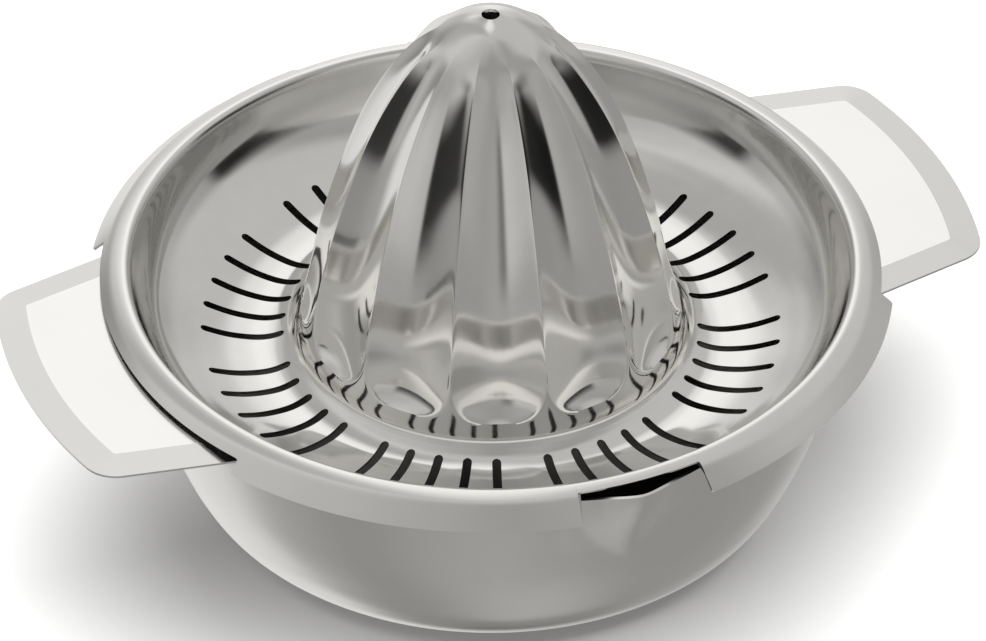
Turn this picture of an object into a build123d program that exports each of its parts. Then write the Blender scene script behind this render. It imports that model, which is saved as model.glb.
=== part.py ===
from build123d import *
import math
import os

os.makedirs("parts", exist_ok=True)

# Stainless-steel hand citrus juicer. Millimetres, +Z up, underside of the bowl at Z = 0.
# +X runs through the two tab handles, +Y through the two pour spouts.

# Sheet thicknesses
BOWL_SHEET = 0.8
INSERT_SHEET = 0.6
HANDLE_SHEET = 1.0

# Bowl: outer face from the flat base to the rim
BASE_RADIUS = 43.0
BOWL_CORNER = [(49.8, 2.3), (54.0, 5.7)]
BOWL_WALL = [(56.4, 9.8), (60.9, 22.0), (64.2, 34.0)]
RIM_RADIUS = 66.8
RIM_HEIGHT = 46.2

# Pour spouts: shallow V-shaped bulges in the wall
SPOUT_REACH = 69.4
SPOUT_HALF_WIDTH = 13.0
SPOUT_LIP_HEIGHT = 44.95
SPOUT_LIP_HALF_ANGLE = 11.5
SPOUT_SHOULDER = 65.4
SPOUT_TIP_HEIGHT = 30.0
SPOUT_TIP_RADIUS = 62.5

# Tab handles
HANDLE_TOP = 44.15
HANDLE_REACH = 88.7
HANDLE_HALF_ROOT = 32.6
HANDLE_TAPER = 10.6
HANDLE_TAPER_FROM = 57.0
HANDLE_CORNER = 6.5
HANDLE_BORDER = 5.5
HANDLE_BORDER_DROP = 0.6

# Insert: upper face of the pressed sheet from the skirt edge down to the foot of the cone
SKIRT = [(72.0, 43.1), (70.0, 45.05), (68.4, 46.45), (66.8, 47.4), (65.4, 47.7), (64.2, 47.1), (63.4, 45.8)]
DISH = [(63.2, 44.6), (61.0, 38.6), (56.2, 34.7), (47.4, 31.1), (41.0, 30.2), (36.8, 31.4), (34.2, 33.3)]
HANDLE_NOTCH_RADIUS = 69.8
HANDLE_NOTCH_HALF = 28.7
SPOUT_NOTCH_RADIUS = 67.4
SPOUT_NOTCH_HALF = 9.5

# Strainer slots
SLOT_GROUPS = 8
SLOTS_PER_GROUP = 5
SLOT_PITCH = 7.8
SLOT_PHASE = 8.5
SLOT_INNER = 37.2
SLOT_OUTER = 52.1
SLOT_WIDTH = 1.6

# Fluted cone, foot to shoulder: height, radius on a ridge, radius in the middle of a flute
FLUTES = 12
FLUTE_PHASE = -20.0
CONE = [
    (32.8, 34.9, 34.9),
    (36.0, 34.2, 32.6),
    (41.0, 33.4, 30.6),
    (51.8, 31.1, 28.3),
    (67.0, 26.7, 24.3),
    (78.9, 22.3, 20.3),
    (87.5, 17.7, 16.3),
    (93.3, 13.4, 12.7),
    (96.9, 9.0, 9.0),
]
CAP = [(9.0, 96.9), (5.4, 99.6), (0.0, 101.1)]
CONE_WALL = 1.0
DRAIN_RADIUS = 1.55


def from_front(angle):
    """Angle about Z counted from -Y towards +X, turned into the usual one from +X."""
    return angle - 90.0


def polar(radius, angle, height=0.0):
    turn = math.radians(angle)
    return (radius * math.cos(turn), radius * math.sin(turn), height)


def lower_face(points, distance):
    """The same profile moved by the sheet thickness to its lower, outer side."""
    moved = []
    for index, (radius, height) in enumerate(points):
        before = points[max(index - 1, 0)]
        after = points[min(index + 1, len(points) - 1)]
        run = after[0] - before[0]
        rise = after[1] - before[1]
        length = math.hypot(run, rise)
        moved.append((radius - rise / length * distance, height + run / length * distance))
    return moved


def sector(inner, outer, centre, half, low, high):
    """Upright block between two radii and two radial planes."""
    near_a = polar(inner, centre - half)
    near_b = polar(inner, centre + half)
    far_a = polar(outer, centre - half)
    far_b = polar(outer, centre + half)
    with BuildPart() as block:
        with BuildSketch(Plane.XY.offset(low)):
            with BuildLine():
                ThreePointArc(near_a, polar(inner, centre), near_b)
                Line(near_b, far_b)
                ThreePointArc(far_b, polar(outer, centre), far_a)
                Line(far_a, near_a)
            make_face()
        extrude(amount=high - low)
    return block.part


def bowl_fill(inset):
    """Solid of revolution under the bowl's outer face, moved inwards by the given amount."""
    top = RIM_HEIGHT + (5.0 if inset else 0.0)
    with BuildPart() as fill:
        with BuildSketch(Plane.XZ):
            with BuildLine():
                corner = [(radius - inset * 0.6, height + inset * 0.8) for radius, height in BOWL_CORNER]
                wall = [(radius - inset, height + inset * 0.3) for radius, height in BOWL_WALL]
                foot = (BASE_RADIUS, inset)
                rim = (RIM_RADIUS - inset, top)
                Line((0, inset), foot)
                Spline(foot, *corner, *wall, rim, tangents=[(1, 0), (0.16, 1)])
                Line(rim, (0, top))
                Line((0, top), (0, inset))
            make_face()
        revolve(axis=Axis.Z)
    return fill.part


def spout_fill(side, inset):
    """Half-cone bulge that carries the pour spout, narrowing to a point below the rim."""
    wires = []
    for height in (SPOUT_TIP_HEIGHT, RIM_HEIGHT + 2 * inset):
        share = (height - SPOUT_TIP_HEIGHT) / (RIM_HEIGHT - SPOUT_TIP_HEIGHT)
        half = 1.2 + share * (SPOUT_HALF_WIDTH - 1.2) - inset
        nose = SPOUT_TIP_RADIUS + share * (SPOUT_REACH - SPOUT_TIP_RADIUS) - inset
        shoulder = nose - 0.6 - share * (SPOUT_REACH - SPOUT_SHOULDER - 0.6)
        back = SPOUT_SHOULDER - 9.0
        start = (-half, side * back, height)
        left = (-half, side * shoulder, height)
        right = (half, side * shoulder, height)
        end = (half, side * back, height)
        edges = [
            Edge.make_line(start, left),
            Edge.make_three_point_arc(left, (0, side * nose, height), right),
            Edge.make_line(right, end),
            Edge.make_line(end, start),
        ]
        wires.append(Wire(edges))
    return Solid.make_loft(wires, ruled=True)


def make_bowl():
    outer = bowl_fill(0.0)
    inner = bowl_fill(BOWL_SHEET)
    for side in (-1, 1):
        outer = outer + spout_fill(side, 0.0)
        inner = inner + spout_fill(side, BOWL_SHEET)
    bowl = outer - inner
    for centre in (-90.0, 90.0):
        bowl = bowl - sector(50, 80, centre, SPOUT_LIP_HALF_ANGLE, SPOUT_LIP_HEIGHT, RIM_HEIGHT + 5)
    return bowl


def make_handle(side):
    """Flat tab with a bevelled border, tip concentric with the bowl, welded to its wall."""
    taper = math.tan(math.radians(HANDLE_TAPER))
    tip_x = HANDLE_REACH + 4.0
    tip_half = HANDLE_HALF_ROOT - (tip_x - HANDLE_TAPER_FROM) * taper
    with BuildPart() as tab:
        with BuildSketch(Plane.XY.offset(HANDLE_TOP - HANDLE_SHEET)):
            with BuildLine():
                Polyline(
                    (HANDLE_TAPER_FROM, -HANDLE_HALF_ROOT),
                    (tip_x, -tip_half),
                    (tip_x, tip_half),
                    (HANDLE_TAPER_FROM, HANDLE_HALF_ROOT),
                    close=True,
                )
            make_face()
            Circle(HANDLE_REACH, mode=Mode.INTERSECT)
        extrude(amount=HANDLE_SHEET)
        tips = [edge for edge in tab.edges().filter_by(Axis.Z) if edge.center().X > 70]
        fillet(tips, HANDLE_CORNER)
        border = [
            edge
            for edge in tab.faces().sort_by(Axis.Z)[-1].edges()
            if edge.center().X > HANDLE_TAPER_FROM + 2
        ]
        chamfer(border, HANDLE_BORDER_DROP, HANDLE_BORDER)
    plate = tab.part - bowl_fill(0.0)
    if side < 0:
        plate = plate.rotate(Axis.Z, 180)
    return plate


def star(height, ridge, valley):
    """Closed wire of concave arcs that meet at the ridges."""
    pitch = 360.0 / FLUTES
    start = from_front(FLUTE_PHASE) - pitch / 2
    edges = []
    for index in range(FLUTES):
        turn = start + index * pitch
        edges.append(
            Edge.make_three_point_arc(
                polar(ridge, turn, height),
                polar(valley, turn + pitch / 2, height),
                polar(ridge, turn + pitch, height),
            )
        )
    return Wire(edges)


def cone_fill(inset, drop):
    """Fluted cone closed by a smooth dome."""
    wires = [star(height - drop, ridge - inset, valley - inset) for height, ridge, valley in CONE]
    body = Solid.make_loft(wires, ruled=False)
    shoulder = (CAP[0][0] - inset, CAP[0][1] - drop)
    crown = (CAP[1][0] - inset * 0.7, CAP[1][1] - drop)
    apex = (0, CAP[2][1] - drop)
    with BuildPart() as cap:
        with BuildSketch(Plane.XZ):
            with BuildLine():
                Spline(shoulder, crown, apex, tangents=[(-0.74, 0.67), (-1, 0)])
                Line(apex, (0, shoulder[1]))
                Line((0, shoulder[1]), shoulder)
            make_face()
        revolve(axis=Axis.Z)
    return body + cap.part


def make_dish():
    """Skirt, rolled rim and trough of the insert as one revolved sheet."""
    skirt_low = lower_face(SKIRT, INSERT_SHEET)
    dish_low = lower_face(DISH, INSERT_SHEET)
    with BuildPart() as dish:
        with BuildSketch(Plane.XZ):
            with BuildLine():
                Spline(*SKIRT)
                Line(SKIRT[-1], DISH[0])
                Spline(*DISH)
                Line(DISH[-1], dish_low[-1])
                Spline(*dish_low)
                Line(dish_low[0], skirt_low[-1])
                Spline(*skirt_low)
                Line(skirt_low[0], SKIRT[0])
            make_face()
        revolve(axis=Axis.Z)
    return dish.part


def make_cone():
    """Hollow fluted cone with a drain hole in its top."""
    shell = cone_fill(0.0, 0.0) - cone_fill(CONE_WALL, 0.8)
    return shell - Pos(0, 0, 90) * Cylinder(DRAIN_RADIUS, 40)


def make_strainer():
    """Strainer dish up to the foot of the cone, with its slots and skirt notches."""
    dish = make_dish() - cone_fill(0.0, 0.0)
    cutters = []
    for centre in (0.0, 180.0):
        cutters.append(sector(HANDLE_NOTCH_RADIUS, 80, centre, HANDLE_NOTCH_HALF, 35, 60))
        cutters.append(sector(SPOUT_NOTCH_RADIUS, 80, centre + 90.0, SPOUT_NOTCH_HALF, 35, 60))
    middle = (SLOT_INNER + SLOT_OUTER) / 2
    with BuildPart() as slots:
        with BuildSketch(Plane.XY.offset(25)):
            for group in range(SLOT_GROUPS):
                for index in range(SLOTS_PER_GROUP):
                    turn = SLOT_PHASE + group * 360.0 / SLOT_GROUPS
                    turn += (index - (SLOTS_PER_GROUP - 1) / 2) * SLOT_PITCH
                    with Locations(Location(polar(middle, from_front(turn)), (0, 0, from_front(turn)))):
                        SlotOverall(SLOT_OUTER - SLOT_INNER, SLOT_WIDTH)
        extrude(amount=12)
    cutters.append(slots.part)
    for cutter in cutters:
        dish = dish - cutter
    return dish


NODES = {
    "bowl": make_bowl(),
    "handle_left": make_handle(-1),
    "handle_right": make_handle(1),
    "strainer_dish": make_strainer(),
    "reamer_cone": make_cone(),
}

for name, solid in NODES.items():
    solids = solid.solids()
    box = solid.bounding_box()
    print(name, len(solids), round(solid.volume, 1), box.min, box.max, solid.is_valid)
    export_step(solid, f"parts/{name}.step")
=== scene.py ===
"""Looks for the hand citrus juicer: bowl, two tab handles, strainer dish with fluted cone."""

import math

import bmesh
import bpy
import numpy as np
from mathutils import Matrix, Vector


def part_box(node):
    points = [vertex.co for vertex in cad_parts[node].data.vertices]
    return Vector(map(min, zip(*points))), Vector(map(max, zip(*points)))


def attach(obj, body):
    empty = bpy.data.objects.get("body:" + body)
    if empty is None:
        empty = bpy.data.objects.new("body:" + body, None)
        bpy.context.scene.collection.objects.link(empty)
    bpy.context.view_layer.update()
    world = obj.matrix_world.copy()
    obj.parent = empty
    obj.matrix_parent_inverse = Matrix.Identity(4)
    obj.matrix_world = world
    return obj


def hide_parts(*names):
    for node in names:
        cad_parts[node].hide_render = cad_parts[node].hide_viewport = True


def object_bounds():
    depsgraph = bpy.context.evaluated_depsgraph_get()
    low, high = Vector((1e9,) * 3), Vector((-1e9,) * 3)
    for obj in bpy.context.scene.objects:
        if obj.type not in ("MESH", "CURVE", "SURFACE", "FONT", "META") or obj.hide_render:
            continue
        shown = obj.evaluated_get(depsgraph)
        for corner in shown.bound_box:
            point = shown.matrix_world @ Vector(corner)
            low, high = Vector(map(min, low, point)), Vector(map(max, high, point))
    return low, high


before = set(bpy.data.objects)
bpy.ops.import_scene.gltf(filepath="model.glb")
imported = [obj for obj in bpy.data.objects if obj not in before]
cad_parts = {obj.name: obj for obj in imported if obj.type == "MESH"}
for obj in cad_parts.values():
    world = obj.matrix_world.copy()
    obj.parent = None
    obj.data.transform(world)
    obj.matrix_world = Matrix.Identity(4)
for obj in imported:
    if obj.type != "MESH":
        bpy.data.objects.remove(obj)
cad_box = [list(corner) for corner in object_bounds()]

MM = 0.001
SHEET = 0.5
MERGE_DISTANCE = 2e-6
SLIVER_LENGTH = 1e-7
SHARP_ANGLE = 32.0

# ------------------------------------------------------------ sizes from the frame, mm
bowl_high = np.array(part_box("bowl")[1]) / MM
RIM_R = bowl_high[0]
RIM_Z = bowl_high[2]

# Insert, upper face, as (radius, height): skirt and crest, then dish wall and trough, then cone
SKIRT_PROFILE = [
    (71.95, 43.2), (71.0, 44.13), (70.0, 45.08), (69.1, 45.93), (68.6, 46.38), (68.0, 46.76), (67.2, 47.08),
    (66.3, 47.36), (65.6, 47.5), (65.0, 47.4), (64.6, 47.0), (64.3, 46.4), (64.1, 45.6),
]
DISH_PROFILE = [
    (64.1, 45.6), (63.1, 42.6), (61.8, 39.8), (60.0, 37.3), (57.8, 35.6), (55.0, 34.15), (52.0, 32.8),
    (47.4, 31.1), (43.5, 30.35), (41.0, 30.25), (39.0, 30.6), (36.9, 31.45), (35.7, 32.3),
]
CONE_PROFILE = [
    (35.7, 32.3), (35.0, 33.1), (34.6, 34.1), (34.3, 35.5), (33.7, 38.5), (31.1, 51.8), (26.7, 67.0),
    (22.3, 78.9), (17.7, 87.5), (13.4, 93.3), (9.0, 97.0), (5.0, 99.6), (1.6, 100.9),
]
FLUTES = 12
FLUTE_PHASE = -20.0
FLUTE_DEPTH = 3.0
FLUTE_FULL_RADIUS = 33.0
# Heights between which a flute's foot rounds off, radii between which it fades out at the tip
FLUTE_FOOT = (36.8, 44.5)
FLUTE_FADE = (8.0, 14.0)
RIDGE_SOFTNESS = 0.07

# Skirt notches: middle, half angle about it, radius left standing
NOTCHES = [(90.0, 28.7, 69.8), (270.0, 28.7, 69.8), (0.0, 9.75, 67.4), (180.0, 9.75, 67.4)]
NOTCH_CORNER = 0.6
NOTCH_ROUNDING = 0.6
RIM_ANGLE_STEP = 0.9

SLOT_GROUPS = 8
SLOTS_PER_GROUP = 5
SLOT_PITCH = 7.8
SLOT_PHASE = 8.5
SLOT_INNER = 37.15
SLOT_OUTER = 52.1
SLOT_HALF = 0.8


# ------------------------------------------------------------------- mesh helpers
def smooth_curve(points, count):
    """Catmull-Rom curve through the points, sampled evenly along its length."""
    pts = np.array(points, float)
    padded = np.vstack([2 * pts[0] - pts[1], pts, 2 * pts[-1] - pts[-2]])
    steps = np.sqrt(np.linalg.norm(np.diff(padded, axis=0), axis=1))
    knots = np.concatenate([[0], np.cumsum(steps)])
    fine = []
    for i in range(1, len(padded) - 2):
        t = np.linspace(knots[i], knots[i + 1], 24, endpoint=False)[:, None]
        p0, p1, p2, p3 = padded[i - 1:i + 3]
        k0, k1, k2, k3 = knots[i - 1:i + 3]
        a1 = (k1 - t) / (k1 - k0) * p0 + (t - k0) / (k1 - k0) * p1
        a2 = (k2 - t) / (k2 - k1) * p1 + (t - k1) / (k2 - k1) * p2
        a3 = (k3 - t) / (k3 - k2) * p2 + (t - k2) / (k3 - k2) * p3
        b1 = (k2 - t) / (k2 - k0) * a1 + (t - k0) / (k2 - k0) * a2
        b2 = (k3 - t) / (k3 - k1) * a2 + (t - k1) / (k3 - k1) * a3
        fine.append((k2 - t) / (k2 - k1) * b1 + (t - k1) / (k2 - k1) * b2)
    fine = np.vstack(fine + [pts[-1:]])
    length = np.concatenate([[0], np.cumsum(np.linalg.norm(np.diff(fine, axis=0), axis=1))])
    at = np.linspace(0, length[-1], count)
    return np.stack([np.interp(at, length, fine[:, k]) for k in range(2)], axis=1)


def ring(radius, height, angle):
    """Points about Z; angle in degrees from -Y towards +X."""
    turn = np.radians(angle)
    shape = np.broadcast(radius, height, angle).shape
    parts = (radius * np.sin(turn), -radius * np.cos(turn), height)
    return np.stack([np.broadcast_to(part, shape) for part in parts], axis=-1)


def grid_normals(grid, closed):
    """Unit normals of a grid of points, rows along the profile and columns round the axis."""
    along = np.gradient(grid, axis=0)
    if closed:
        across = np.roll(grid, -1, axis=1) - np.roll(grid, 1, axis=1)
    else:
        across = np.gradient(grid, axis=1)
    normal = np.cross(across, along)
    size = np.linalg.norm(normal, axis=-1, keepdims=True)
    return normal / np.maximum(size, 1e-12)


def grid_quads(rows, cols, closed, keep=None):
    """Corner indices of a grid's quads; keep is a boolean array of the quads that stay."""
    last = cols if closed else cols - 1
    row, col = np.meshgrid(np.arange(rows - 1), np.arange(last), indexing="ij")
    nxt = (col + 1) % cols
    here, there = row * cols, (row + 1) * cols
    quads = np.stack([here + col, here + nxt, there + nxt, there + col], -1)
    if keep is not None:
        return quads[keep]
    return quads.reshape(-1, 4)


class Sheet:
    """Collects grids of one pressed sheet: a face, its back and the cut edges between."""

    def __init__(self):
        self.points = []
        self.faces = []
        self.slots = []
        self.total = 0

    def add(self, points, faces, slot=0):
        self.points.append(points)
        self.faces.extend((faces + self.total).tolist())
        self.slots.extend([slot] * len(faces))
        self.total += len(points)

    def add_grid(self, grid, closed=True, keep=None, thickness=SHEET, flip=False, slot=0):
        rows, cols = grid.shape[:2]
        normal = grid_normals(grid, closed)
        if flip:
            normal = -normal
        front = grid.reshape(-1, 3)
        back = (grid - normal * thickness).reshape(-1, 3)
        quads = grid_quads(rows, cols, closed, keep)
        turned = quads[:, ::-1]
        self.add(front, turned if flip else quads, slot=slot)
        # The back takes slot 1, which holds a darker copy of the steel as painted shade
        self.add(back, quads if flip else turned, slot=1)
        self.add_edges(front, back, turned if flip else quads)

    def add_edges(self, front, back, quads):
        """Walls along every edge that only one face uses: slots, notches and rims."""
        edges = np.concatenate([quads[:, [k, (k + 1) % 4]] for k in range(4)])
        edges = edges[np.linalg.norm(front[edges[:, 0]] - front[edges[:, 1]], axis=1) > 1e-6]
        lookup = {}
        for a, b in edges.tolist():
            lookup[(a, b)] = lookup.get((a, b), 0) + 1
        rim = [(a, b) for (a, b) in lookup if (b, a) not in lookup]
        used = sorted({v for edge in rim for v in edge})
        place = {v: i for i, v in enumerate(used)}
        count = len(used)
        points = np.vstack([front[used], back[used]])
        walls = [(place[b], place[a], place[a] + count, place[b] + count) for a, b in rim]
        if walls:
            self.add(points, np.array(walls))

    def build(self, name):
        mesh = bpy.data.meshes.new(name)
        points = np.vstack(self.points) * MM
        mesh.from_pydata(points.tolist(), [], self.faces)
        mesh.polygons.foreach_set("material_index", self.slots)
        piece = bpy.data.objects.new(name, mesh)
        bpy.context.scene.collection.objects.link(piece)
        bm = bmesh.new()
        bm.from_mesh(mesh)
        bmesh.ops.remove_doubles(bm, verts=bm.verts, dist=MERGE_DISTANCE)
        bmesh.ops.dissolve_degenerate(bm, edges=bm.edges, dist=SLIVER_LENGTH)
        bm.to_mesh(mesh)
        bm.free()
        mesh.polygons.foreach_set("use_smooth", [True] * len(mesh.polygons))
        mesh.set_sharp_from_angle(angle=math.radians(SHARP_ANGLE))
        mesh.update()
        return piece


# ------------------------------------------------------------------------ the insert
def notch_columns():
    """Angles round the rim, close together at the notch sides."""
    angles = np.arange(0.0, 360.0, RIM_ANGLE_STEP)
    marks = []
    for axis, half, _ in NOTCHES:
        for side in (-1, 1):
            edge = axis + side * half
            for step in (0.0, 0.012, 0.1, 0.25, 0.45, 0.75, 1.05, 1.3):
                marks.append((edge + step) % 360.0)
                marks.append((edge - step) % 360.0)
    marks = np.array(marks)
    keep = [a for a in angles if np.min(np.abs((a - marks + 180) % 360 - 180)) > 0.25]
    return np.unique(np.concatenate([keep, marks]))


def skirt_limit(angles, profile):
    """How far out along the profile the skirt reaches at each angle, as arc length."""
    length = np.concatenate([[0], np.cumsum(np.linalg.norm(np.diff(profile, axis=0), axis=1))])
    limit = np.zeros(len(angles))
    crest = int(np.argmax(profile[:, 1]))
    outside = profile[:crest + 1]
    for axis, half, radius in NOTCHES:
        cut = float(np.interp(radius, outside[::-1, 0], length[:crest + 1][::-1]))
        away = (half - np.abs((angles - axis + 180) % 360 - 180)) * math.radians(1) * radius
        inner = np.clip(away / NOTCH_CORNER, 0, 1)
        outer = np.clip(-away / NOTCH_CORNER, 0, 1)
        inside = cut - NOTCH_CORNER * NOTCH_ROUNDING * (1 - np.sqrt(1 - (1 - inner) ** 2))
        beyond = NOTCH_CORNER * NOTCH_ROUNDING * (1 - np.sqrt(1 - (1 - outer) ** 2))
        near = np.where(-away < NOTCH_CORNER, np.maximum(limit, beyond), limit)
        limit = np.where(away > 0, inside, near)
    return limit, length


def add_rim(sheet):
    profile = smooth_curve(SKIRT_PROFILE, 240)
    angles = notch_columns()
    limit, length = skirt_limit(angles, profile)
    rows = 34
    share = np.linspace(0, 1, rows)[:, None]
    at = limit[None, :] + share * (length[-1] - limit[None, :])
    radius = np.interp(at, length, profile[:, 0])
    height = np.interp(at, length, profile[:, 1])
    sheet.add_grid(ring(radius, height, angles[None, :]), slot=2)


def slot_half_angle(radius):
    """Half the angle that a slot takes up at a radius; none beyond its rounded ends."""
    reach = np.minimum(radius - SLOT_INNER, SLOT_OUTER - radius)
    short = np.clip(SLOT_HALF - reach, 0, SLOT_HALF)
    half = np.where(reach > 0, np.sqrt(np.maximum(SLOT_HALF ** 2 - short ** 2, 0)), 0)
    return np.degrees(half / radius)


def add_dish(sheet):
    profile = smooth_curve(DISH_PROFILE, 600)
    radii = profile[:, 0]
    wall = np.linspace(DISH_PROFILE[0][0], 53.2, 34)
    ends = np.array([0.8, 0.6, 0.45, 0.3, 0.18, 0.08, 0.02, 0.0])
    outer_end = SLOT_OUTER - ends[::-1]
    inner_end = SLOT_INNER + ends
    middle = np.linspace(SLOT_OUTER - 1.3, SLOT_INNER + 1.3, 20)
    foot = np.linspace(SLOT_INNER - 0.25, DISH_PROFILE[-1][0], 6)
    rows = np.concatenate([wall, outer_end, middle, inner_end, foot])
    order = np.argsort(-rows)
    rows = rows[order]
    height = np.interp(rows[::-1], radii[::-1], profile[::-1, 1])[::-1]
    half = slot_half_angle(rows)
    centres = []
    for group in range(SLOT_GROUPS):
        for index in range(SLOTS_PER_GROUP):
            centres.append(SLOT_PHASE + group * 360.0 / SLOT_GROUPS + (index - 2) * SLOT_PITCH)
    columns = []
    hole = []
    for index, centre in enumerate(centres):
        following = centres[(index + 1) % len(centres)]
        gap = (following - centre) % 360.0
        parts = 6 if gap < 10 else 12
        columns.append(centre - half)
        hole.append(True)
        for part in range(parts + 1):
            share = part / parts
            left = centre + half
            right = centre + gap - half
            if part < parts:
                columns.append(left + share * (right - left))
                hole.append(False)
    angles = np.stack(columns, axis=1)
    grid = ring(rows[:, None], height[:, None], angles)
    is_slot = np.array(hole)
    opened = (half[:-1] > 0) | (half[1:] > 0)
    keep = ~(opened[:, None] & is_slot[None, :])
    sheet.add_grid(grid, keep=keep)


def flute_share(count):
    """Places across one flute from ridge to ridge, closer together at the ridges."""
    t = np.linspace(-1, 1, count, endpoint=False)
    return np.sin(t * math.pi / 2)


def add_cone(sheet):
    rows = smooth_curve(CONE_PROFILE, 170)
    across = flute_share(32)
    pitch = 360.0 / FLUTES
    phi = np.tile(across, FLUTES)
    centre = np.repeat(FLUTE_PHASE + pitch * np.arange(FLUTES), len(across))
    angles = centre + phi * pitch / 2
    z = rows[:, 1][:, None]
    envelope = rows[:, 0][:, None]
    fade = np.clip((envelope - FLUTE_FADE[0]) / (FLUTE_FADE[1] - FLUTE_FADE[0]), 0, 1)
    depth = fade * fade * (3 - 2 * fade) * FLUTE_DEPTH * np.clip(envelope / FLUTE_FULL_RADIUS, 0, 1) ** 0.8
    rise = np.clip((FLUTE_FOOT[1] - z) / (FLUTE_FOOT[1] - FLUTE_FOOT[0]), 0, 1)
    width = np.sqrt(np.clip(1 - rise ** 2, 0, 1))
    raw = width - phi[None, :] ** 2
    cut = 0.5 * (raw + np.sqrt(raw ** 2 + RIDGE_SOFTNESS ** 2))
    cut = np.where(z < FLUTE_FOOT[0], 0, cut) * depth
    radius = envelope - cut
    sheet.add_grid(ring(radius, z, angles[None, :]))


def make_strainer():
    sheet = Sheet()
    add_rim(sheet)
    add_dish(sheet)
    piece = sheet.build("strainer_dish_steel")
    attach(piece, "insert")
    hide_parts("strainer_dish")
    return piece


def make_cone():
    sheet = Sheet()
    add_cone(sheet)
    piece = sheet.build("reamer_cone_steel")
    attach(piece, "insert")
    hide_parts("reamer_cone")
    return piece


# -------------------------------------------------------------------------- the bowl
BOWL_PROFILE = [
    (RIM_R, RIM_Z), (66.4, 43.6), (65.5, 39.2), (64.2, 34.0), (60.9, 22.0), (58.6, 15.2), (56.4, 9.8),
    (54.0, 5.7), (49.8, 2.2), (46.0, 0.5), (42.5, 0.02), (40.0, 0.0),
]
SPOUT_LIP_Z = 44.95
SPOUT_LIP_HALF_ANGLE = 11.7
SPOUT_LIP_STEP = 0.7
SPOUT_TIP_Z = 25.4
# Two bulges make a spout: how far out, half angle at the lip, how fast it narrows downwards
SPOUT_BULGES = [(2.15, 12.5, 0.6), (1.05, 6.6, 0.45)]
SPOUT_NOSE_SOFTNESS = 1.5


def make_bowl():
    profile = smooth_curve(BOWL_PROFILE, 110)
    angles = np.arange(0.0, 360.0, 0.6)
    radius = np.repeat(profile[:, 0][:, None], len(angles), axis=1)
    height = np.repeat(profile[:, 1][:, None], len(angles), axis=1)
    for axis in (0.0, 180.0):
        off = np.abs((angles - axis + 180) % 360 - 180)[None, :]
        lower = np.clip((SPOUT_LIP_HALF_ANGLE - off) / SPOUT_LIP_STEP, 0, 1)
        squeeze = np.clip((height - 30.0) / (RIM_Z - 30.0), 0, 1)
        height = height - lower * squeeze * (RIM_Z - SPOUT_LIP_Z)
        drop = np.clip((height - SPOUT_TIP_Z) / (SPOUT_LIP_Z - SPOUT_TIP_Z), 0.0001, 1)
        soft = np.sqrt(off ** 2 + SPOUT_NOSE_SOFTNESS ** 2)
        for reach, half, narrowing in SPOUT_BULGES:
            shape = np.clip(1 - soft / (half * drop ** narrowing), 0, 1)
            radius = radius + reach * drop * (np.sqrt(shape ** 2 + 0.01) - 0.1) / 0.905
    sheet = Sheet()
    sheet.add_grid(ring(radius, height, angles[None, :]), flip=True)
    base = ring(np.linspace(40.0, 0.01, 12)[:, None], np.zeros((12, 1)), angles[None, :])
    sheet.add_grid(base, flip=True)
    piece = sheet.build("bowl_steel")
    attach(piece, "bowl")
    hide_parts("bowl")
    return piece


# ------------------------------------------------------------------------- the steels
def steel(name, base, dark, rough, grain, bump=0.02, slope_shade=None):
    """Steel with a fine grain; the border colour, if given, is painted shade: a darker colour put where the
    plate isn't level.
    """
    mat = bpy.data.materials.new(name)
    mat.use_nodes = True
    nodes = mat.node_tree.nodes
    links = mat.node_tree.links
    shader = nodes["Principled BSDF"]
    shader.inputs["Metallic"].default_value = 1.0
    coords = nodes.new("ShaderNodeTexCoord")
    scale = nodes.new("ShaderNodeMapping")
    scale.inputs["Scale"].default_value = grain
    links.new(coords.outputs["Object"], scale.inputs["Vector"])
    noise = nodes.new("ShaderNodeTexNoise")
    noise.inputs["Scale"].default_value = 1.0
    noise.inputs["Detail"].default_value = 4.0
    links.new(scale.outputs["Vector"], noise.inputs["Vector"])
    tint = nodes.new("ShaderNodeMix")
    tint.data_type = "RGBA"
    tint.inputs[6].default_value = (*dark, 1)
    tint.inputs[7].default_value = (*base, 1)
    links.new(noise.outputs["Fac"], tint.inputs[0])
    color = tint.outputs[2]
    if slope_shade:
        # The pressed border slopes a little, so its normal tells it from the flat middle; the slope gets
        # the darker colour as painted shade
        surface = nodes.new("ShaderNodeNewGeometry")
        parts = nodes.new("ShaderNodeSeparateXYZ")
        links.new(surface.outputs["True Normal"], parts.inputs[0])
        level = nodes.new("ShaderNodeMapRange")
        level.inputs["From Min"].default_value = 0.9950
        level.inputs["From Max"].default_value = 0.9985
        links.new(parts.outputs["Z"], level.inputs["Value"])
        edge = nodes.new("ShaderNodeMix")
        edge.data_type = "RGBA"
        edge.inputs[6].default_value = (*slope_shade, 1)
        links.new(level.outputs["Result"], edge.inputs[0])
        links.new(color, edge.inputs[7])
        color = edge.outputs[2]
    links.new(color, shader.inputs["Base Color"])
    spread = nodes.new("ShaderNodeMapRange")
    spread.inputs["To Min"].default_value = rough[0]
    spread.inputs["To Max"].default_value = rough[1]
    links.new(noise.outputs["Fac"], spread.inputs["Value"])
    links.new(spread.outputs["Result"], shader.inputs["Roughness"])
    relief = nodes.new("ShaderNodeBump")
    relief.inputs["Strength"].default_value = bump
    relief.inputs["Distance"].default_value = 0.0002
    links.new(noise.outputs["Fac"], relief.inputs["Height"])
    links.new(relief.outputs["Normal"], shader.inputs["Normal"])
    return mat


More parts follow.
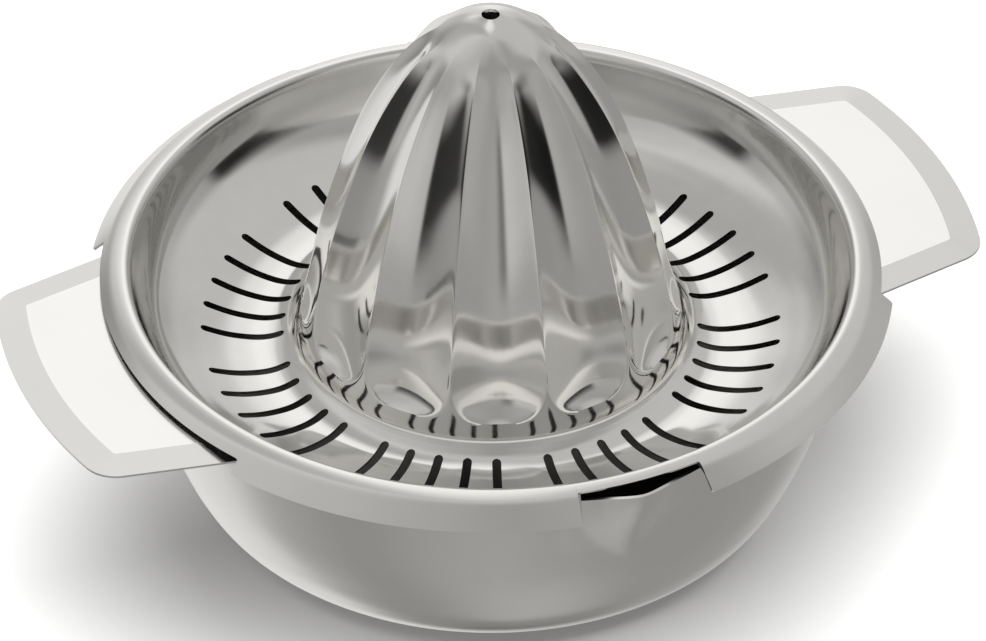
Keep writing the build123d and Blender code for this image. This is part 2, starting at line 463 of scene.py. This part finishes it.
INSERT_STEEL = steel("insert_steel", (0.80, 0.79, 0.77), (0.74, 0.73, 0.71), (0.07, 0.13), (220, 220, 220))
RIM_STEEL = steel(
    "rim_satin", (0.82, 0.81, 0.79), (0.77, 0.76, 0.74),
    (0.16, 0.22), (60, 60, 60), bump=0.004)
# Underside of the insert: the same steel painted much darker, painted shade for the side that faces down
# into the bowl
UNDERSIDE_SHADE_STEEL = steel(
    "insert_underside_painted_shade", (0.24, 0.237, 0.23), (0.20, 0.197, 0.19),
    (0.3, 0.4), (300, 300, 300))
BOWL_STEEL = steel(
    "bowl_steel", (0.78, 0.77, 0.75), (0.73, 0.72, 0.70),
    (0.19, 0.24), (30, 30, 90), bump=0.003)
# Inside of the bowl: the same steel painted darker than the outside, painted shade under the insert
INSIDE_SHADE_STEEL = steel(
    "bowl_inside_painted_shade", (0.40, 0.395, 0.385), (0.34, 0.336, 0.327),
    (0.28, 0.38), (60, 60, 600), bump=0.01)
# Handles: the sloping pressed border is painted a darker grey, painted shade for how the light falls on the
# slope
HANDLE_STEEL = steel(
    "handle_steel", (0.86, 0.857, 0.85), (0.82, 0.817, 0.81),
    (0.20, 0.24), (60, 60, 60), bump=0.002,
    slope_shade=(0.66, 0.657, 0.65))


for piece in (make_strainer(), make_cone()):
    piece.data.materials.append(INSERT_STEEL)
    piece.data.materials.append(UNDERSIDE_SHADE_STEEL)
    piece.data.materials.append(RIM_STEEL)
bowl = make_bowl()
bowl.data.materials.append(BOWL_STEEL)
bowl.data.materials.append(INSIDE_SHADE_STEEL)
for node in ("handle_left", "handle_right"):
    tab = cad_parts[node]
    tab.data.materials.clear()
    tab.data.materials.append(HANDLE_STEEL)


# ------------------------------------------------------------------ floor, light, camera
FLOOR_HALF = 3.0
FLOOR_GAP = 0.0002


def make_floor():
    mesh = bpy.data.meshes.new("floor")
    size = FLOOR_HALF
    corners = [(-size, -size, 0), (size, -size, 0), (size, size, 0), (-size, size, 0)]
    mesh.from_pydata(corners, [], [(0, 1, 2, 3)])
    floor = bpy.data.objects.new("floor", mesh)
    bpy.context.scene.collection.objects.link(floor)
    floor.location.z = cad_box[0][2] - FLOOR_GAP
    mat = bpy.data.materials.new("floor_paper")
    mat.use_nodes = True
    shader = mat.node_tree.nodes["Principled BSDF"]
    shader.inputs["Base Color"].default_value = (0.93, 0.93, 0.93, 1)
    shader.inputs["Roughness"].default_value = 0.9
    mesh.materials.append(mat)
    floor.visible_glossy = False


def add_light(name, location, target, size, power):
    data = bpy.data.lights.new(name, "AREA")
    data.shape = "RECTANGLE"
    data.size, data.size_y = size
    data.energy = power
    lamp = bpy.data.objects.new(name, data)
    bpy.context.scene.collection.objects.link(lamp)
    lamp.location = location
    lamp.rotation_euler = (Vector(target) - Vector(location)).to_track_quat("-Z", "Y").to_euler()
    return lamp


def math_node(nodes, links, operation, *values):
    """A Math node fed by sockets or plain numbers; gives its output socket."""
    node = nodes.new("ShaderNodeMath")
    node.operation = operation
    for socket, value in zip(node.inputs, values):
        if isinstance(value, bpy.types.NodeSocket):
            links.new(value, socket)
        else:
            socket.default_value = value
    return node.outputs[0]


def tone_ramp(nodes, links, share, tones):
    """Grey tone round the room, by angle from -Y towards +X in degrees."""
    node = nodes.new("ShaderNodeValToRGB")
    ramp = node.color_ramp
    ramp.interpolation = "EASE"
    stops = [(angle / 360.0 + 0.5, (tone, tone * 0.995, tone * 0.98, 1)) for angle, tone in tones]
    ramp.elements[0].position, ramp.elements[0].color = stops[0]
    ramp.elements[1].position, ramp.elements[1].color = stops[-1]
    for position, color in stops[1:-1]:
        ramp.elements.new(position).color = color
    links.new(share, node.inputs[0])
    return node.outputs[0]


def blend_by_height(nodes, links, lift, start, end, low, high):
    """Mixes from low to high as the direction rises between two elevations in degrees."""
    rise = nodes.new("ShaderNodeMapRange")
    rise.interpolation_type = "SMOOTHSTEP"
    rise.inputs["From Min"].default_value = math.radians(start)
    rise.inputs["From Max"].default_value = math.radians(end)
    links.new(lift, rise.inputs["Value"])
    mix = nodes.new("ShaderNodeMix")
    mix.data_type = "RGBA"
    links.new(rise.outputs["Result"], mix.inputs[0])
    links.new(low, mix.inputs[6])
    if isinstance(high, bpy.types.NodeSocket):
        links.new(high, mix.inputs[7])
    else:
        mix.inputs[7].default_value = (high, high, high, 1)
    return mix.outputs[2]


# Studio tones by angle from -Y towards +X: black flags left and right of the camera,
# grey sheets between them and a bright wall behind the object
WALL_TONES = [
    (-180, 0.60), (-155, 0.32), (-125, 0.55), (-112, 0.45), (-105, 0.04), (-63, 0.03),
    (-57, 0.55), (-36, 0.63), (-28, 0.20), (-16, 0.42), (0, 0.40), (27, 0.48),
    (33, 0.01), (70, 0.02), (78, 0.42), (105, 0.50), (124, 0.46),
    (137, 0.66), (157, 1.02), (172, 0.80), (180, 0.60),
]
UPPER_TONES = [
    (-180, 1.00), (-172, 0.66), (-164, 0.48), (-150, 0.50),
    (-125, 0.70), (-100, 0.62), (-75, 0.55), (-45, 0.46),
    (-15, 0.38), (15, 0.45), (45, 0.40), (75, 0.60), (105, 0.62), (130, 0.62), (143, 0.95),
    (157, 1.12), (170, 1.12), (180, 1.00),
]
ZENITH_TONE = 0.60
# Table round the object: lighter further out, darker close to the foot
TABLE_TONES = [
    (-180, 0.88), (-150, 0.85), (-125, 0.42), (-90, 0.33), (-50, 0.42), (-20, 0.44), (5, 0.38),
    (45, 0.36), (75, 0.34), (110, 0.36), (145, 0.60), (180, 0.88),
]
FOOT_TONES = [
    (-180, 0.26), (-120, 0.30), (-75, 0.34), (-45, 0.44), (-10, 0.50),
    (25, 0.54), (60, 0.50), (100, 0.22), (180, 0.16),
]


def make_studio():
    """The room that the steel reflects: walls, the part above them, and the ceiling."""
    world = bpy.data.worlds.new("studio")
    world.use_nodes = True
    nodes = world.node_tree.nodes
    links = world.node_tree.links
    coords = nodes.new("ShaderNodeTexCoord")
    split = nodes.new("ShaderNodeSeparateXYZ")
    links.new(coords.outputs["Generated"], split.inputs[0])
    minus_y = math_node(nodes, links, "MULTIPLY", split.outputs["Y"], -1.0)
    turn = math_node(nodes, links, "ARCTAN2", split.outputs["X"], minus_y)
    share = math_node(nodes, links, "MULTIPLY_ADD", turn, 0.5 / math.pi, 0.5)
    lift = math_node(nodes, links, "ARCSINE", split.outputs["Z"])
    walls = tone_ramp(nodes, links, share, WALL_TONES)
    upper = tone_ramp(nodes, links, share, UPPER_TONES)
    table = tone_ramp(nodes, links, share, TABLE_TONES)
    foot = tone_ramp(nodes, links, share, FOOT_TONES)
    tone = blend_by_height(nodes, links, lift, -79.0, -66.0, foot, table)
    tone = blend_by_height(nodes, links, lift, -10.0, -5.0, tone, walls)
    tone = blend_by_height(nodes, links, lift, 12.0, 32.0, tone, upper)
    tone = blend_by_height(nodes, links, lift, 68.0, 88.0, tone, ZENITH_TONE)
    links.new(tone, nodes["Background"].inputs["Color"])
    bpy.context.scene.world = world


make_floor()
make_studio()
floor_light = add_light("floor_light", (0, 0, 2.2), (0, 0, 0), (3.0, 3.0), 85)
floor_light.visible_glossy = False
bpy.context.scene.view_settings.view_transform = "Standard"

# Camera: a long lens from in front and a little to the left, well above the rim
VIEW_AZIMUTH = -22.5
VIEW_ELEVATION = 38.1
VIEW_DISTANCE = 1.374
VIEW_LENS = 280.8
FRAME_DOWN = 0.00943
FRAME_RIGHT = 0.00041
aim = Vector((0, 0, 0.0451))
turn, lift = math.radians(VIEW_AZIMUTH), math.radians(VIEW_ELEVATION)
back = Vector((math.sin(turn) * math.cos(lift), -math.cos(turn) * math.cos(lift), math.sin(lift)))
right = Vector((math.cos(turn), math.sin(turn), 0))
up = back.cross(right)
aim = aim - up * FRAME_DOWN + right * FRAME_RIGHT
camera_data = bpy.data.cameras.new("camera")
camera_data.lens = VIEW_LENS
camera_data.sensor_width = 36
camera_data.clip_start = 0.1
camera_data.clip_end = 20
camera = bpy.data.objects.new("camera", camera_data)
bpy.context.scene.collection.objects.link(camera)
camera.location = aim + back * VIEW_DISTANCE
camera.rotation_euler = (-back).to_track_quat("-Z", "Y").to_euler()
bpy.context.scene.camera = camera
